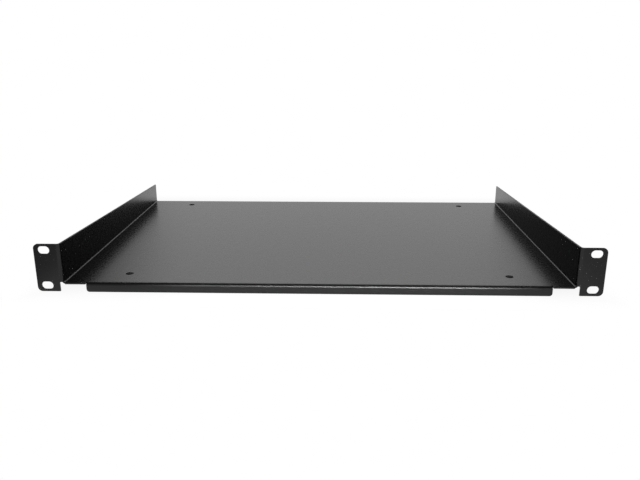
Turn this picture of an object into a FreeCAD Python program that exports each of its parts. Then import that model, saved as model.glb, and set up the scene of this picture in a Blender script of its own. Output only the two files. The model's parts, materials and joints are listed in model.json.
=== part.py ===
import FreeCAD, Part
import math
import os

from FreeCAD import Vector

# Cantilever rack shelf, one rack unit high: a single steel sheet, cut flat and folded.
# The plate has a wall folded up along each side, each wall has an ear folded out at its
# front end, and the plate's front edge is folded down into a stiffening lip.
# X runs across the rack, Y from the rack's front to its back and Z up. The origin is the
# centre of the four rack slots, on the rear faces of the ears, which seat on the rails.

# Sheet, and the inside radius of the folds of walls and lip; the ears' folds are wider
sheet = 1.5
inside_radius = 1.2
ear_inside_radius = 1.85

# Rack standard: panel width and the spacing of the rail holes, with room in the slots
panel_width = 482.6
slot_spacing_x = 465.1
slot_spacing_z = 31.75
slot_length = 10.0
slot_width = 6.8

# Ears
ear_height = 42.6
ear_corner_radius = 4.2

# Tray between the walls; its depth is taken from the ears' front faces to the rear edge
tray_width = 436.7
depth = 304.8
plate_drop = 13.35
wall_rear_height = 21.6

# Lip under the front edge, and the narrow slits that let its fold end cleanly
lip_width = 398.2
lip_height = 8.3
lip_corner_radius = 2.5
relief_width = 0.5
relief_past_fold = 0.9

# Corners where an ear leaves the wall: the height above the plate at which the ear's fold
# ends, and the round relief in the plate's corner, placed by its turn round the wall's fold
ear_fold_clearance = 0.35
corner_relief_radius = 1.3
corner_relief_turn = 40.0

# Holes in the plate, set in from its front and rear edges
plate_hole_diameter = 6.6
plate_hole_spacing_x = 337.2
plate_hole_front_inset = 25.0
plate_hole_rear_inset = 20.1

# Overrun of each cut past the sheet, and how near two points count as one
overrun = 1.0
nearness = 1e-4

# Derived places
half_sheet = sheet / 2
front_y = -sheet
rear_y = front_y + depth
plate_top = -plate_drop
plate_bottom = plate_top - sheet
ear_top = ear_height / 2
ear_bottom = -ear_height / 2
wall_inner_x = tray_width / 2
wall_middle_x = wall_inner_x + half_sheet
wall_outer_x = wall_inner_x + sheet
ear_inner_x = wall_outer_x + ear_inside_radius
ear_outer_x = panel_width / 2
ear_fold_end_y = ear_inside_radius
ear_fold_bottom = plate_top + ear_fold_clearance
relief_end_y = inside_radius + relief_past_fold
lip_half_width = lip_width / 2
lip_bottom = plate_top - lip_height
wall_rear_top = plate_top + wall_rear_height


def straight(start, end):
    """Line between two points, or nothing where a fold begins at once."""
    if start.isEqual(end, nearness):
        return []
    return [Part.LineSegment(start, end).toShape()]


def side_edges(corners, middle_radius, offset):
    """Lines and arcs of one face of a folded strip, at a distance left of its middle line."""
    directions = [(b - a).normalize() for a, b in zip(corners, corners[1:])]
    normals = [Vector(-d.y, d.x, 0) for d in directions]
    edges = []
    start = corners[0] + normals[0] * offset
    for i, corner in enumerate(corners[1:-1]):
        turn = directions[i].getAngle(directions[i + 1])
        side = math.copysign(1, directions[i].cross(directions[i + 1]).z)
        setback = middle_radius * math.tan(turn / 2)
        fold_start = corner - directions[i] * setback
        fold_end = corner + directions[i + 1] * setback
        centre = fold_start + normals[i] * (side * middle_radius)
        outward = (normals[i] + normals[i + 1]).normalize() * -side
        arc_start = fold_start + normals[i] * offset
        arc_middle = centre + outward * (middle_radius - side * offset)
        arc_end = fold_end + normals[i + 1] * offset
        edges += straight(start, arc_start)
        edges.append(Part.Arc(arc_start, arc_middle, arc_end).toShape())
        start = arc_end
    return edges + straight(start, corners[-1] + normals[-1] * offset)


def folded_strip(points, radius, length):
    """Strip of sheet along +Z, whose middle line runs through the points of the XY plane."""
    corners = [Vector(x, y, 0) for x, y in points]
    left = side_edges(corners, radius + half_sheet, half_sheet)
    right = side_edges(corners, radius + half_sheet, -half_sheet)
    first_cap = straight(left[0].Vertexes[0].Point, right[0].Vertexes[0].Point)
    last_cap = straight(left[-1].Vertexes[-1].Point, right[-1].Vertexes[-1].Point)
    outline = Part.Wire(Part.__sortEdges__(left + right + first_cap + last_cap))
    return Part.Face(outline).extrude(Vector(0, 0, length))


def laid(strip, x_axis, y_axis, place):
    """Strip drawn in the XY plane, turned so that its X and Y run along the given axes."""
    across, up = Vector(*x_axis), Vector(*y_axis)
    turn = FreeCAD.Rotation(across, up, across.cross(up), "XYZ")
    strip.Placement = FreeCAD.Placement(place, turn)
    return strip


def block(x_low, x_high, y_low, y_high, z_low, z_high):
    corner = Vector(x_low, y_low, z_low)
    return Part.makeBox(x_high - x_low, y_high - y_low, z_high - z_low, corner)


def edges_along_y(shape, x, z):
    """Straight edges that run along Y at the given X and Z."""
    found = []
    for edge in shape.Edges:
        ends = [vertex.Point for vertex in edge.Vertexes]
        if all(abs(end.x - x) < nearness and abs(end.z - z) < nearness for end in ends):
            found.append(edge)
    return found


def make_tray():
    """Plate and walls, with the room left in front for the folds of the ears and the lip."""
    plate_middle = plate_top - half_sheet
    points = [
        (-wall_middle_x, ear_top),
        (-wall_middle_x, plate_middle),
        (wall_middle_x, plate_middle),
        (wall_middle_x, ear_top),
    ]
    # The strip runs forward from the rear edge
    strip = folded_strip(points, inside_radius, depth)
    tray = laid(strip, (1, 0, 0), (0, 0, 1), Vector(0, rear_y, 0))
    for_ears = block(
        -wall_outer_x, wall_outer_x, front_y, ear_fold_end_y, ear_fold_bottom, ear_top
    )
    gap_half = lip_half_width + relief_width
    for_lip = block(-gap_half, gap_half, front_y, relief_end_y, plate_bottom, plate_top)
    return tray.cut([for_ears, for_lip])


def make_ear():
    """Right ear: folded out of the wall above the plate, and hanging free below that."""
    ear_middle_y = front_y + half_sheet
    points = [
        (wall_middle_x, ear_fold_end_y),
        (wall_middle_x, ear_middle_y),
        (ear_outer_x, ear_middle_y),
    ]
    folded = folded_strip(points, ear_inside_radius, ear_top - ear_fold_bottom)
    folded.translate(Vector(0, 0, ear_fold_bottom))
    hanging = block(ear_inner_x, ear_outer_x, front_y, 0, ear_bottom, ear_fold_bottom)
    return folded.fuse(hanging)


def make_lip():
    """Front lip: the plate's edge folded down, its face level with the ears' front faces."""
    plate_middle = plate_top - half_sheet
    lip_middle_y = front_y + half_sheet
    points = [
        (relief_end_y, plate_middle),
        (lip_middle_y, plate_middle),
        (lip_middle_y, lip_bottom),
    ]
    start = Vector(-lip_half_width, 0, 0)
    strip = folded_strip(points, inside_radius, lip_width)
    return laid(strip, (0, 1, 0), (0, 0, 1), start)


def wall_taper():
    """What is cut off the walls: all that stands above the line from ear top to rear top."""
    slope = (wall_rear_top - ear_top) / (rear_y - ear_fold_end_y)
    past_y = rear_y + overrun
    past_z = ear_top + overrun
    corners = [
        Vector(-ear_inner_x, ear_fold_end_y, ear_top),
        Vector(-ear_inner_x, past_y, wall_rear_top + slope * overrun),
        Vector(-ear_inner_x, past_y, past_z),
        Vector(-ear_inner_x, ear_fold_end_y, past_z),
    ]
    outline = Part.makePolygon(corners + corners[:1])
    return Part.Face(outline).extrude(Vector(2 * ear_inner_x, 0, 0))


def rack_slot(x, z):
    """Obround through an ear, long across the rack."""
    radius = slot_width / 2
    reach = slot_length / 2 - radius
    start = front_y - overrun
    through = sheet + 2 * overrun
    ends = [
        Part.makeCylinder(radius, through, Vector(x + dx, start, z), Vector(0, 1, 0))
        for dx in (-reach, reach)
    ]
    middle = block(x - reach, x + reach, start, start + through, z - radius, z + radius)
    return middle.fuse(ends)


def plate_bore(x, y, diameter):
    """Round hole straight through the plate."""
    base = Vector(x, y, plate_bottom - overrun)
    return Part.makeCylinder(diameter / 2, sheet + 2 * overrun, base)


def corner_relief(side):
    """Short bore square to the sheet, through the front end of a wall's fold."""
    turn = math.radians(corner_relief_turn)
    outward = Vector(side * math.sin(turn), 0, -math.cos(turn))
    centre = Vector(side * (wall_inner_x - inside_radius), front_y, plate_top + inside_radius)
    start = centre + outward * (inside_radius - overrun)
    return Part.makeCylinder(corner_relief_radius, sheet + 2 * overrun, start, outward)


def make_cutters():
    cutters = [wall_taper()]
    for side in (-1, 1):
        for level in (-1, 1):
            cutters.append(rack_slot(side * slot_spacing_x / 2, level * slot_spacing_z / 2))
        hole_x = side * plate_hole_spacing_x / 2
        for hole_y in (front_y + plate_hole_front_inset, rear_y - plate_hole_rear_inset):
            cutters.append(plate_bore(hole_x, hole_y, plate_hole_diameter))
        cutters.append(corner_relief(side))
        # Round end of the relief slit beside the lip
        slit_x = side * (lip_half_width + relief_width / 2)
        cutters.append(plate_bore(slit_x, relief_end_y, relief_width))
    return cutters


def make_shelf():
    ear = make_ear()
    other_ear = ear.mirror(Vector(0, 0, 0), Vector(1, 0, 0))
    shelf = make_tray().fuse([ear, other_ear, make_lip()]).removeSplitter()
    shelf = shelf.cut(make_cutters())
    for side in (-1, 1):
        ear_corners = edges_along_y(shelf, side * ear_outer_x, ear_top)
        ear_corners += edges_along_y(shelf, side * ear_outer_x, ear_bottom)
        shelf = shelf.makeFillet(ear_corner_radius, ear_corners)
        lip_corners = edges_along_y(shelf, side * lip_half_width, lip_bottom)
        shelf = shelf.makeFillet(lip_corner_radius, lip_corners)
    return shelf.removeSplitter().Solids[0]


os.makedirs("parts", exist_ok=True)
folded_shelf = make_shelf()
folded_shelf.exportStep("parts/folded_shelf.step")
print("solid", folded_shelf.isValid(), "volume", round(folded_shelf.Volume, 1))
print("size", folded_shelf.BoundBox)
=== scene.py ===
import json
import math

import bpy
from mathutils import Matrix, Vector
from mathutils.geometry import delaunay_2d_cdt


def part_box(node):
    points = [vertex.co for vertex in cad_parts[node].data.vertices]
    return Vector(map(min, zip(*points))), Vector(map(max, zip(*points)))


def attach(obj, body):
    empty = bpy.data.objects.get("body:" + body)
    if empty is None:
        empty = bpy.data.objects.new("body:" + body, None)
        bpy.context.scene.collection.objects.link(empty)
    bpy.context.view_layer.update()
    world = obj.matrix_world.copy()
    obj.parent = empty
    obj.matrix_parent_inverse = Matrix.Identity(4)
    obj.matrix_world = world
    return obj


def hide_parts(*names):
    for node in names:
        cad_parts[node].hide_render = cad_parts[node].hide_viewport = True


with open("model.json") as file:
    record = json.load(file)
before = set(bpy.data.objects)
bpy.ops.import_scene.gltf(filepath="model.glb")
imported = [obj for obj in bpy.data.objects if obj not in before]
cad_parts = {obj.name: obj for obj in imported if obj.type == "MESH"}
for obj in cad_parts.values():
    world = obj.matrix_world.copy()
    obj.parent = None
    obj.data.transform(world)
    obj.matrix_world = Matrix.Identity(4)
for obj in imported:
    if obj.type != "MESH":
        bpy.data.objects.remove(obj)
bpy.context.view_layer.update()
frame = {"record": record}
mm = 0.001
mounts = {mount["name"]: mount for mount in frame["record"]["mounts"]}


# The folded sheet, in millimetres. The other sizes come from the frame.
shelf = {
    "sheet": 1.5,
    "insideRadius": 1.2,
    "earInsideRadius": 1.85,
    "trayWidth": 436.7,
    "wallRearHeight": 21.6,
    "earHeight": 42.6,
    "earCornerRadius": 4.2,
    "earFoldClearance": 0.35,      # of the ear's fold above the plate
    "cornerReliefRadius": 1.3,
    "cornerReliefTurn": 40,        # degrees round the wall's fold
    "cornerDraw": 0.9,             # width of metal drawn from the wall's fold into the ear's
    "lipWidth": 398.2,
    "lipCornerRadius": 2.5,
    "reliefWidth": 0.5,
    "reliefPastFold": 0.9,
    "wallTopRadius": 2.0,          # where the wall's top runs into the ear's
    "cornerRound": 0.4,            # cut corners, softened by the coating
    "edgeRound": 0.28,             # coated edges of the sheet
    "edgeSteps": 3,
    "foldSteps": 14,               # facets round each fold
    "arcSteps": {"softened": 4, "corner": 10, "relief": 12, "slotEnd": 16, "hole": 40},
    "gridStep": 12.0,
    "gridAcross": 17,              # steps of the plate's net each way from the middle
    "gridBack": 24,
}
boxLow, boxHigh = [[v / mm for v in corner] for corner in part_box("folded_shelf")]
slotDims = mounts["rack_slots"]["dims"]
holeDims = mounts["plate_holes"]["dims"]
holeMiddleY = mounts["plate_holes"]["pos_m"][1] / mm
plateTop = mounts["plate_top"]["pos_m"][2] / mm
plateMiddle = plateTop - shelf["sheet"] / 2
foldRadius = shelf["insideRadius"] + shelf["sheet"] / 2      # of the sheet's middle
foldLength = foldRadius * math.pi / 2
earFoldRadius = shelf["earInsideRadius"] + shelf["sheet"] / 2
earFoldLength = earFoldRadius * math.pi / 2
frontY, rearY = boxLow[1], boxHigh[1]
wallX = shelf["trayWidth"] / 2 + shelf["sheet"] / 2
wallFoldStart = wallX - foldRadius                   # across the blank
wallFoldEnd = wallFoldStart + foldLength
wallFoldTop = plateMiddle + foldRadius               # height where the wall runs straight
frontFoldStart = frontY + shelf["sheet"] / 2 + foldRadius
frontFoldEnd = frontFoldStart - foldLength
earMiddleY = frontY + shelf["sheet"] / 2
earFoldStart = earMiddleY + earFoldRadius
earFoldEnd = earFoldStart - earFoldLength
earInnerX = wallX + earFoldRadius

# Distances for the making of the mesh
cornerMargin = 0.1       # the plate's own front rim stays out of the ear's fold
probe = 0.004            # on either side of a point, to read the sheet's directions there
nearness = 0.001         # within which two points of an outline are one
netNearness = 1e-4
smallCorner = 1          # radius up to which a corner gets fewer steps
sharpestRim = 0.3        # keeps the way inwards short at a sharp corner of the rim
cutPast, cutBeside, cutBelow = 1, 2, 10      # reach of the cuts past the rim and the folds
netShift = 1             # keeps the net's rows clear of the cuts
holeClearance = 2


def smooth(value, low, high):
    t = min(max((value - low) / (high - low), 0), 1)
    return t * t * (3 - 2 * t)


# Place across the blank of a height on the wall or the ear
def upTheWall(z):
    return wallFoldEnd + z - wallFoldTop


# Place along the blank of a distance from the middle on the ear
def outTheEar(x):
    return earFoldEnd - (x - earInnerX)


earFoldLow = upTheWall(plateTop + shelf["earFoldClearance"])
lipHalf = shelf["lipWidth"] / 2
reliefU = lipHalf + shelf["reliefWidth"] / 2


# Place of a point of the flat blank once the sheet is folded: u runs across, v to the rear
def folded(u, v):
    side, u = math.copysign(1, u), abs(u)
    x, y, z = u, v, plateMiddle
    if u > wallFoldStart:
        turn = min((u - wallFoldStart) / foldRadius, math.pi / 2)
        x = wallFoldStart + foldRadius * math.sin(turn)
        z = plateMiddle + foldRadius * (1 - math.cos(turn)) + max(u - wallFoldEnd, 0)
    if v < frontY - cornerMargin and u > reliefU:
        pulled = 1                     # the ear and what hangs from it
    else:
        pulled = smooth(u, earFoldLow - shelf["cornerDraw"], earFoldLow)
    if v < earFoldStart and pulled > 0:
        turn = min((earFoldStart - v) / earFoldRadius, math.pi / 2)
        flat = wallFoldTop + u - wallFoldEnd
        earX = x + (earInnerX - x) * (1 - math.cos(turn)) + max(earFoldEnd - v, 0)
        earY = earFoldStart - earFoldRadius * math.sin(turn)
        earZ = z + (flat - z) * math.sin(turn) ** 2
        x, y, z = x + (earX - x) * pulled, y + (earY - y) * pulled, z + (earZ - z) * pulled
    elif v < frontFoldStart and u < reliefU:
        turn = min((frontFoldStart - v) / foldRadius, math.pi / 2)
        y = frontFoldStart - foldRadius * math.sin(turn)
        z = plateMiddle - foldRadius * (1 - math.cos(turn)) - max(frontFoldEnd - v, 0)
    return Vector((side * x, y, z))


# Folded place, with the unit directions of u and v there and the sheet's normal
def foldedWithAxes(u, v):
    along = (folded(u + probe, v) - folded(u - probe, v)) / (2 * probe)
    back = (folded(u, v + probe) - folded(u, v - probe)) / (2 * probe)
    return folded(u, v), along, back, along.cross(back).normalized()


# Whether a place on the upper or lower face of the blank is on the outside of a fold
def stretched(u, v, upper):
    u = abs(u)
    if upper:
        return u < reliefU and frontFoldEnd < v < frontFoldStart
    return wallFoldStart < u < wallFoldEnd


def arcPoints(centre, radius, start, turn, steps):
    return [
        (centre[0] + radius * math.cos(start + turn * i / steps),
         centre[1] + radius * math.sin(start + turn * i / steps))
        for i in range(steps + 1)
    ]


# Closed outline whose corners, given as u, v and radius, are rounded with arcs
def roundedOutline(corners):
    points = []
    for i, (u, v, radius) in enumerate(corners):
        here = Vector((u, v))
        before = (here - Vector(corners[i - 1][:2])).normalized()
        after = (Vector(corners[(i + 1) % len(corners)][:2]) - here).normalized()
        turn = math.atan2(before.x * after.y - before.y * after.x, before.dot(after))
        if radius == 0:
            points.append((u, v))
            continue
        start = here - before * radius * math.tan(abs(turn) / 2)
        left = Vector((-before.y, before.x)) * math.copysign(1, turn)
        centre = start + left * radius
        angle = math.atan2(-left.y, -left.x)
        steps = shelf["arcSteps"]["softened" if radius < smallCorner else "corner"]
        for point in arcPoints(centre, radius, angle, turn, steps):
            if not points or math.dist(point, points[-1]) > nearness:
                points.append(point)
    return points


# Outline of the flat blank, anticlockwise from the lip's left corner
def blankOutline():
    small = shelf["cornerRound"]
    reliefEnd = frontFoldStart + shelf["reliefPastFold"] + shelf["reliefWidth"] / 2
    lipBottom = frontFoldEnd - (plateMiddle - foldRadius - boxLow[2])
    earLow, earHigh = upTheWall(-shelf["earHeight"] / 2), upTheWall(shelf["earHeight"] / 2)
    earOut = outTheEar(boxHigh[0])
    relief = wallFoldStart + foldRadius * math.radians(shelf["cornerReliefTurn"])
    reach = earFoldLow - relief
    rest = math.acos(reach / shelf["cornerReliefRadius"])
    start, turn, steps = math.pi, rest - math.pi, shelf["arcSteps"]["relief"]
    roundRelief = arcPoints((relief, frontY), shelf["cornerReliefRadius"], start, turn, steps)
    right = [
        (lipHalf, lipBottom, shelf["lipCornerRadius"]),
        (lipHalf, reliefEnd, shelf["reliefWidth"] / 2),
        (lipHalf + shelf["reliefWidth"], reliefEnd, shelf["reliefWidth"] / 2),
        (lipHalf + shelf["reliefWidth"], frontY, small),
        *[(u, v, 0) for u, v in roundRelief],
        (earFoldLow, earFoldEnd, 0),
        (earLow, earFoldEnd, small),
        (earLow, earOut, shelf["earCornerRadius"]),
        (earHigh, earOut, shelf["earCornerRadius"]),
        (earHigh, earFoldStart, shelf["wallTopRadius"]),
        (upTheWall(plateTop + shelf["wallRearHeight"]), rearY, small),
    ]
    left = [(-u, v, radius) for u, v, radius in reversed(right)]
    return roundedOutline(right + left)


# Slots of the ears and holes of the plate, clockwise
def blankHoles():
    holes = []
    steps = shelf["arcSteps"]
    radius = slotDims["hole_r_mm"]
    reach = slotDims["slot_length_mm"] / 2 - radius
    for side in (-1, 1):
        for level in (-1, 1):
            u = side * upTheWall(level * slotDims["spacing_y_mm"] / 2)
            v = outTheEar(slotDims["spacing_x_mm"] / 2)
            far = arcPoints((u, v + reach), radius, math.pi, -math.pi, steps["slotEnd"])
            near = arcPoints((u, v - reach), radius, 0, -math.pi, steps["slotEnd"])
            holes.append(far + near)
            centre = (side * holeDims["spacing_x_mm"] / 2,
                      holeMiddleY + level * holeDims["spacing_y_mm"] / 2)
            whole = arcPoints(centre, holeDims["hole_r_mm"], 0, -2 * math.pi, steps["hole"])
            holes.append(whole[:-1])
    return holes


# Straight cuts of the net along and across each fold, so that the folds come out round
def foldLines():
    lines = []
    steps = shelf["foldSteps"]
    wallTop = upTheWall(shelf["earHeight"] / 2) + cutPast
    for i in range(steps + 1):
        u = wallFoldStart + foldLength * i / steps
        v = frontFoldStart - foldLength * i / steps
        earV = earFoldStart - earFoldLength * i / steps
        for side in (-1, 1):
            lines.append(((side * u, earFoldEnd - cutPast), (side * u, rearY + cutPast)))
            lines.append(((side * wallFoldStart, earV), (side * wallTop, earV)))
        lines.append(((-reliefU, v), (reliefU, v)))
    rows = round((rearY - earFoldStart) / shelf["gridStep"])
    for i in range(1, rows):
        v = earFoldStart + (rearY - earFoldStart) * i / rows
        for side in (-1, 1):
            lines.append(((side * (wallFoldStart - cutBeside), v), (side * wallTop, v)))
    columns = round(shelf["lipWidth"] / shelf["gridStep"])
    for i in range(1, columns):
        u = -lipHalf + shelf["lipWidth"] * i / columns
        lines.append(((u, frontFoldEnd - cutBelow), (u, frontFoldStart + cutBeside)))
    return lines


# Whether a point of the blank lies inside a closed loop
def inside(point, loop):
    u, v = point
    found = False
    for (au, av), (bu, bv) in zip(loop, loop[1:] + loop[:1]):
        if (av > v) != (bv > v) and u < au + (bu - au) * (v - av) / (bv - av):
            found = not found
    return found


# Points and triangles of the flat blank, with every fold line in it
def blankNet():
    outline, holes = blankOutline(), blankHoles()
    points, edges = [], []
    for loop in [outline, *holes]:
        first = len(points)
        points += loop
        edges += [(first + i, first + (i + 1) % len(loop)) for i in range(len(loop))]
    for start, end in foldLines():
        edges.append((len(points), len(points) + 1))
        points += [start, end]
    step = shelf["gridStep"]
    clear = holeDims["hole_r_mm"] + holeClearance
    across, along = holeDims["spacing_x_mm"] / 2, holeDims["spacing_y_mm"] / 2
    signs = ((-1, -1), (-1, 1), (1, -1), (1, 1))
    centres = [(side * across, holeMiddleY + level * along) for side, level in signs]
    for i in range(-shelf["gridAcross"], shelf["gridAcross"] + 1):
        for j in range(1, shelf["gridBack"] + 1):
            place = (i * step, frontFoldStart + j * step + netShift)
            if all(math.dist(place, centre) > clear for centre in centres):
                points.append(place)
    net = delaunay_2d_cdt([Vector(p) for p in points], edges, [], 0, netNearness, False)
    places = [tuple(p) for p in net[0]]
    faces = []
    for face in net[2]:
        middle = [sum(places[i][k] for i in face) / 3 for k in (0, 1)]
        if inside(middle, outline) and not any(inside(middle, hole) for hole in holes):
            faces.append(tuple(face))
    return places, faces


# For each point on the net's rim, the neighbour that follows it and its way inwards
def rimDirections(places, faces):
    steps = [step for face in faces for step in zip(face, face[1:] + face[:1])]
    known = set(steps)
    rim = {a: b for a, b in steps if (b, a) not in known}
    before = {b: a for a, b in rim.items()}
    inwards = {}
    for here, following in rim.items():
        p = Vector(places[here])
        come = (p - Vector(places[before[here]])).normalized()
        go = (Vector(places[following]) - p).normalized()
        left = Vector((-come.y - go.y, come.x + go.x))
        left.normalize()
        inwards[here] = left / max(left.dot(Vector((-come.y, come.x))), sharpestRim)
    return rim, inwards


# Mesh of the coated sheet: both faces of the folded blank and a rounded rim between them
def foldSheet():
    places, faces = blankNet()
    rim, inwards = rimDirections(places, faces)
    used = sorted({i for face in faces for i in face})
    half, soft = shelf["sheet"] / 2, shelf["edgeRound"]
    points, normals, onEdge, bent = [], [], [], []
    top, bottom, rings = {}, {}, {}

    # One point of the skin: lift along the sheet's normal, tilt of its own normal
    def add(at, lift, tilt, outward):
        place, along, back, normal = foldedWithAxes(*at)
        points.append((place + normal * lift) * mm)
        across = along * outward[0] + back * outward[1]
        if across.length > 0:
            across.normalize()
        normals.append((normal * math.sin(tilt) + across * math.cos(tilt)).normalized())
        onEdge.append(math.cos(tilt))
        bent.append(float(stretched(*at, lift > 0)))
        return len(points) - 1

    for i in used:
        at = places[i]
        outward = (0, 0)
        if i in inwards:
            outward = -inwards[i]
            at = (at[0] + inwards[i].x * soft, at[1] + inwards[i].y * soft)
        top[i] = add(at, half, math.pi / 2, outward)
        bottom[i] = add(at, -half, -math.pi / 2, outward)
        if i in inwards:
            ring = [top[i]]
            for k in range(1, 2 * shelf["edgeSteps"] + 1):
                upper = k <= shelf["edgeSteps"]
                step = k if upper else k - 1
                tilt = math.pi / 2 * (1 - step / shelf["edgeSteps"])
                inset = soft * (1 - math.cos(tilt))
                lift = math.copysign(half - soft, 1 if upper else -1) + soft * math.sin(tilt)
                place = (places[i][0] + inwards[i].x * inset, places[i][1] + inwards[i].y * inset)
                ring.append(add(place, lift, tilt, outward))
            ring.append(bottom[i])
            rings[i] = ring
    skin = [tuple(top[i] for i in face) for face in faces]
    skin += [tuple(bottom[i] for i in reversed(face)) for face in faces]
    for a, b in rim.items():
        for k in range(len(rings[a]) - 1):
            skin.append((rings[a][k], rings[a][k + 1], rings[b][k + 1], rings[b][k]))
    mesh = bpy.data.meshes.new("coated_sheet")
    mesh.from_pydata(points, [], skin)
    mesh.validate()
    for name, values in (("sheet_edge", onEdge), ("sheet_fold", bent)):
        mesh.attributes.new(name, "FLOAT", "POINT").data.foreach_set("value", values)
    mesh.polygons.foreach_set("use_smooth", [True] * len(mesh.polygons))
    mesh.normals_split_custom_set_from_vertices(normals)
    piece = bpy.data.objects.new("coated_sheet", mesh)
    bpy.context.scene.collection.objects.link(piece)
    return piece


# The finish of the sheet: black powder coat, satin, with a fine even grain. Sizes in millimetres.
coat = {
    "black": (0.0016, 0.0016, 0.0017, 1),
    "paler": (0.0028, 0.0028, 0.0029, 1),
    "roughness": (0.265, 0.285),
    "ior": 1.5,
    "grainSize": 0.45,
    "grainDepth": 0.0024,
    "peelSize": 2.2,          # the coating's orange peel
    "peelDepth": 0.0018,
    "cloudSize": 5.0,         # patches of tone and gloss
    "satinFrom": (0.3, 0.7),
    "foldDulling": 0.12,      # roughness added where the coating was stretched over a fold
    "rubbed": (0.011, 0.011, 0.0115, 1),      # coating worn along the sheet's edges
    "rubbedDulling": 0.08,
    "rubSize": 7.0,
    "rubFrom": (0.5, 0.68),
    "detail": {"cloud": 3, "rub": 4, "peel": 1, "grain": 2},     # of each noise
}


def node(tree, kind, values=None, **settings):
    made = tree.nodes.new(kind)
    for name, value in settings.items():
        setattr(made, name, value)
    for name, value in (values or {}).items():
        made.inputs[name].default_value = value
    return made


def noise(tree, place, size, detail):
    made = node(tree, "ShaderNodeTexNoise", {"Scale": 1 / (size * mm), "Detail": detail})
    tree.links.new(place, made.inputs["Vector"])
    return made.outputs["Fac"]


def bump(tree, height, depth, under=None):
    made = node(tree, "ShaderNodeBump", {"Strength": 1, "Distance": depth * mm})
    tree.links.new(height, made.inputs["Height"])
    if under:
        tree.links.new(under, made.inputs["Normal"])
    return made.outputs["Normal"]


# Value from low to high, eased to 0..1 or to the given pair
def ramp(tree, value, low, high, start=0, end=1):
    made = node(tree, "ShaderNodeMapRange", interpolation_type="SMOOTHSTEP")
    for name, number in zip(("From Min", "From Max", "To Min", "To Max"), (low, high, start, end)):
        made.inputs[name].default_value = number
    tree.links.new(value, made.inputs["Value"])
    return made.outputs["Result"]


def combine(tree, operation, *values):
    result = values[0]
    for value in values[1:]:
        made = node(tree, "ShaderNodeMath", operation=operation)
        for socket, source in zip(made.inputs, (result, value)):
            if isinstance(source, (int, float)):
                socket.default_value = source
            else:
                tree.links.new(source, socket)
        result = made.outputs["Value"]
    return result


# Colour between two, each a colour or the output of a node
def blended(tree, share, first, second):
    made = node(tree, "ShaderNodeMix", data_type="RGBA")
    tree.links.new(share, made.inputs["Factor"])
    # The colour sockets are 6 and 7 going in, and 2 coming out
    for socket, source in zip((made.inputs[6], made.inputs[7]), (first, second)):
        if isinstance(source, tuple):
            socket.default_value = source
        else:
            tree.links.new(source, socket)
    return made.outputs[2]


def magnitude(tree, value):
    made = node(tree, "ShaderNodeMath", operation="ABSOLUTE")
    tree.links.new(value, made.inputs[0])
    return made.outputs["Value"]


def emptyTree(owner):
    owner.use_nodes = True
    owner.node_tree.nodes.clear()
    return owner.node_tree


def powderCoat():
    material = bpy.data.materials.new("black_powder_coat")
    tree = emptyTree(material)
    link = tree.links.new
    place = node(tree, "ShaderNodeTexCoord").outputs["Object"]
    detail = coat["detail"]
    clouds = noise(tree, place, coat["cloudSize"], detail["cloud"])
    edge = node(tree, "ShaderNodeAttribute", attribute_name="sheet_edge").outputs["Fac"]
    patches = ramp(tree, noise(tree, place, coat["rubSize"], detail["rub"]), *coat["rubFrom"])
    worn = combine(tree, "MULTIPLY", edge, patches)
    clean = blended(tree, clouds, coat["black"], coat["paler"])
    colour = blended(tree, worn, clean, coat["rubbed"])
    satin = ramp(tree, clouds, *coat["satinFrom"], *coat["roughness"])
    fold = node(tree, "ShaderNodeAttribute", attribute_name="sheet_fold").outputs["Fac"]
    dulled = combine(tree, "MULTIPLY", fold, coat["foldDulling"])
    rubbed = combine(tree, "MULTIPLY", worn, coat["rubbedDulling"])
    waves = noise(tree, place, coat["peelSize"], detail["peel"])
    specks = noise(tree, place, coat["grainSize"], detail["grain"])
    peel = bump(tree, waves, coat["peelDepth"])
    grain = bump(tree, specks, coat["grainDepth"], peel)
    surface = node(tree, "ShaderNodeBsdfPrincipled", {"IOR": coat["ior"]})
    link(colour, surface.inputs["Base Color"])
    link(combine(tree, "ADD", satin, dulled, rubbed), surface.inputs["Roughness"])
    link(grain, surface.inputs["Normal"])
    output = node(tree, "ShaderNodeOutputMaterial")
    link(surface.outputs["BSDF"], output.inputs["Surface"])
    return material


# Camera of the photograph: place in metres, angles in degrees.
cameraView = {
    "place": (0.01737, -0.52901, 0.18541),
    "yaw": 1.63,
    "pitch": -16.74,
    "roll": -0.06,
    "lens": 37.18,
    "sensor": 36,
    "clip": (0.01, 50),
}


def addCamera():
    yaw, pitch, roll = [math.radians(cameraView[k]) for k in ("yaw", "pitch", "roll")]
    ahead = Matrix.Rotation(yaw, 3, "Z") @ Vector((0, math.cos(pitch), math.sin(pitch)))
    level = Vector((math.cos(yaw), math.sin(yaw), 0))
    above = level.cross(ahead)
    right = level * math.cos(roll) + above * math.sin(roll)
    up = above * math.cos(roll) - level * math.sin(roll)
    data = bpy.data.cameras.new("camera")
    data.lens, data.sensor_width = cameraView["lens"], cameraView["sensor"]
    data.sensor_fit = "HORIZONTAL"
    data.clip_start, data.clip_end = cameraView["clip"]
    camera = bpy.data.objects.new("camera", data)
    turned = Matrix((right, up, -ahead)).transposed().to_4x4()
    camera.matrix_world = Matrix.Translation(cameraView["place"]) @ turned
    bpy.context.scene.collection.objects.link(camera)
    bpy.context.scene.camera = camera


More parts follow.
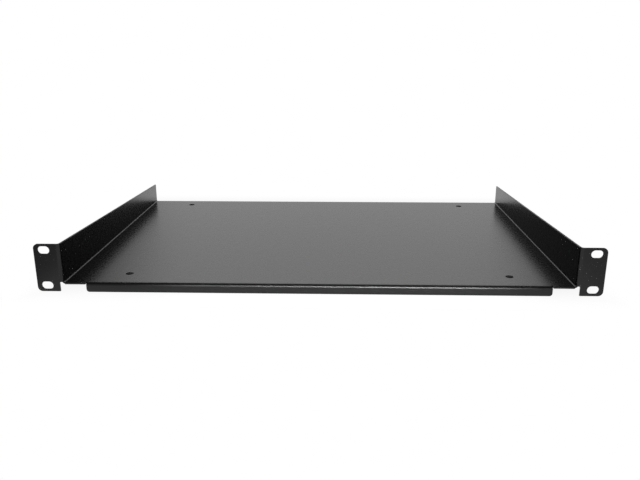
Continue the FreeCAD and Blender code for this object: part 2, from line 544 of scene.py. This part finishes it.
# Floor, backdrop and lamp. Sizes in metres, lamp in watts, brightness 1 is white.
studio = {
    "floorSize": 30.0,
    "paper": (0.85, 0.85, 0.85, 1),
    "shadowKept": 0.12,            # share of the floor's own light beside the shelf
    "shadowReach": 0.06,
    "darkFrom": (0.022, 0.03),     # where the dark floor under the plate begins, to the rear
    "darkInset": 0.015,            # how far it stays inside the walls and the rear edge
    "floorInFront": 0.74,          # what the metal mirrors of the floor in front
    "frontLeft": (-0.27, -0.235),
    "leftShare": 0.5,
    "frontRight": (0.27, 0.235),
    "rightShare": 0.75,
    "floorBehind": (0.31, 0.33),
    "keyPlace": (0.034, -0.41, 0.163),     # gridded softbox, aimed just in front of the lip
    "keyAim": (0.019, -0.129, -0.02),
    "keySize": (0.30, 0.02),
    "keySpread": 21,               # degrees
    "keyPower": 1.55,
    # The room. Places here are on a unit sphere round the shelf
    "sweep": (0.80, 1.85),         # brightness of the white sweep behind the shelf, low and high
    "sweepLevels": (0.31, 0.46),   # heights of the two
    "sweepLeft": (-0.35, -0.24),
    "sweepRight": (0.31, 0.25),
    "sweepWider": (0.28, 0.34, 0, 0.045),     # two heights, and what its sides gain there
    "sweepTop": (0.75, 0.5),
    "behindFrom": (0.2, 0.5),
    "room": 0.01,
    "farSides": 0.45,
    "sidesFrom": (0.46, 0.80),
    "front": 0.45,
    "frontFrom": (-0.2, -0.6),
    "overhead": 0.15,
    "overheadFrom": (0.75, 0.95),
    "twiceMirrored": 0.35,         # share left of its light in a mirror image of a mirror image
}


# The three coordinates of a place on the floor, or of a direction in the world
def coordinates(tree, output):
    place = node(tree, "ShaderNodeTexCoord").outputs[output]
    parts = node(tree, "ShaderNodeSeparateXYZ")
    tree.links.new(place, parts.inputs["Vector"])
    return parts.outputs["X"], parts.outputs["Y"], parts.outputs["Z"]


# Pale paper, tilted a little so that it meets both the lip and the rear edge
def addFloor():
    toe = Vector((0, earMiddleY, boxLow[2])) * mm
    heel = Vector((0, rearY, plateTop - shelf["sheet"])) * mm
    size = studio["floorSize"] / 2
    corners = [(-size, -size, 0), (size, -size, 0), (size, size, 0), (-size, size, 0)]
    mesh = bpy.data.meshes.new("floor")
    mesh.from_pydata(corners, [], [(0, 1, 2, 3)])
    floor = bpy.data.objects.new("floor", mesh)
    floor.location = toe
    floor.rotation_euler.x = math.atan2(heel.z - toe.z, heel.y - toe.y)
    bpy.context.scene.collection.objects.link(floor)
    material = bpy.data.materials.new("paper_floor")
    tree = emptyTree(material)
    link = tree.links.new
    paper = node(tree, "ShaderNodeBsdfDiffuse", {"Color": studio["paper"]})
    glow = node(tree, "ShaderNodeEmission", {"Color": (1, 1, 1, 1)})
    path = node(tree, "ShaderNodeLightPath")
    # White to the camera beside the shelf, with some shadow left close to it, and dark under it
    x, y, _ = coordinates(tree, "Object")
    inset = studio["darkInset"]
    sideways = combine(tree, "SUBTRACT", magnitude(tree, x), wallX * mm - inset)
    forwards = combine(tree, "SUBTRACT", studio["darkFrom"][1], y)
    rearwards = combine(tree, "SUBTRACT", y, rearY * mm - inset)
    outside = combine(tree, "MAXIMUM", sideways, forwards, rearwards)
    beyond = ramp(tree, outside, 0, studio["darkFrom"][1] - studio["darkFrom"][0])
    faded = ramp(tree, outside, 0, studio["shadowReach"], 1 - studio["shadowKept"], 1)
    seen = combine(tree, "MULTIPLY", path.outputs["Is Camera Ray"], beyond, faded)
    # Brighter behind the shelf than in front in what the metal mirrors of it
    left = ramp(tree, x, *studio["frontLeft"], studio["leftShare"], 1)
    right = ramp(tree, x, *studio["frontRight"], studio["rightShare"], 1)
    inFront = combine(tree, "MULTIPLY", left, right, studio["floorInFront"])
    behind = ramp(tree, y, *studio["floorBehind"])
    bright = combine(tree, "MAXIMUM", inFront, behind, path.outputs["Is Camera Ray"])
    link(bright, glow.inputs["Strength"])
    mirrored = combine(tree, "MULTIPLY", path.outputs["Is Glossy Ray"], beyond)
    mix = node(tree, "ShaderNodeMixShader")
    link(combine(tree, "MAXIMUM", seen, mirrored), mix.inputs["Fac"])
    link(paper.outputs["BSDF"], mix.inputs[1])
    link(glow.outputs["Emission"], mix.inputs[2])
    output = node(tree, "ShaderNodeOutputMaterial")
    link(mix.outputs["Shader"], output.inputs["Surface"])
    floor.data.materials.append(material)


# White sweep behind the shelf, a dim room round it, and white wherever the camera looks past it
def addWorld():
    world = bpy.data.worlds.new("studio")
    bpy.context.scene.world = world
    tree = emptyTree(world)
    link = tree.links.new
    x, y, z = coordinates(tree, "Generated")
    across = magnitude(tree, x)
    wider = ramp(tree, z, *studio["sweepWider"])
    left = ramp(tree, combine(tree, "ADD", x, wider), *studio["sweepLeft"])
    right = ramp(tree, combine(tree, "SUBTRACT", x, wider), *studio["sweepRight"])
    behind = ramp(tree, y, *studio["behindFrom"])
    low = ramp(tree, z, *studio["sweepTop"])
    level = ramp(tree, z, *studio["sweepLevels"], *studio["sweep"])
    sweep = combine(tree, "MULTIPLY", left, right, behind, low, level)
    ahead = ramp(tree, y, *studio["frontFrom"])
    front = combine(tree, "MULTIPLY", ahead, low, studio["front"])
    farSides = ramp(tree, across, *studio["sidesFrom"], 0, studio["farSides"])
    overhead = ramp(tree, z, *studio["overheadFrom"], 0, studio["overhead"])
    light = combine(tree, "MAXIMUM", sweep, front, farSides, overhead, studio["room"])
    path = node(tree, "ShaderNodeLightPath")
    seen, mirrorings = path.outputs["Is Camera Ray"], path.outputs["Glossy Depth"]
    kept = ramp(tree, mirrorings, 1, 2, 1, studio["twiceMirrored"])
    unseen = combine(tree, "MULTIPLY", light, kept, combine(tree, "SUBTRACT", 1, seen))
    strength = combine(tree, "ADD", unseen, seen)
    background = node(tree, "ShaderNodeBackground", {"Color": (1, 1, 1, 1)})
    link(strength, background.inputs["Strength"])
    output = node(tree, "ShaderNodeOutputWorld")
    link(background.outputs["Background"], output.inputs["Surface"])


def addLamp():
    data = bpy.data.lights.new("key_softbox", "AREA")
    data.shape = "RECTANGLE"
    data.size, data.size_y = studio["keySize"]
    data.energy = studio["keyPower"]
    data.spread = math.radians(studio["keySpread"])
    lamp = bpy.data.objects.new("key_softbox", data)
    lamp.location = studio["keyPlace"]
    aim = Vector(studio["keyAim"]) - lamp.location
    lamp.rotation_euler = aim.to_track_quat("-Z", "Y").to_euler()
    bpy.context.scene.collection.objects.link(lamp)


sheetPiece = foldSheet()
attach(sheetPiece, "root")
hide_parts("folded_shelf")
sheetMesh = sheetPiece.data
print("sheet folded,", len(sheetMesh.vertices), "points,", len(sheetMesh.polygons), "faces")

sheetPiece.data.materials.append(powderCoat())
print("powder coat made")

addCamera()
addFloor()
addWorld()
addLamp()
bpy.context.scene.view_settings.view_transform = "Standard"
print("camera, floor and light placed")
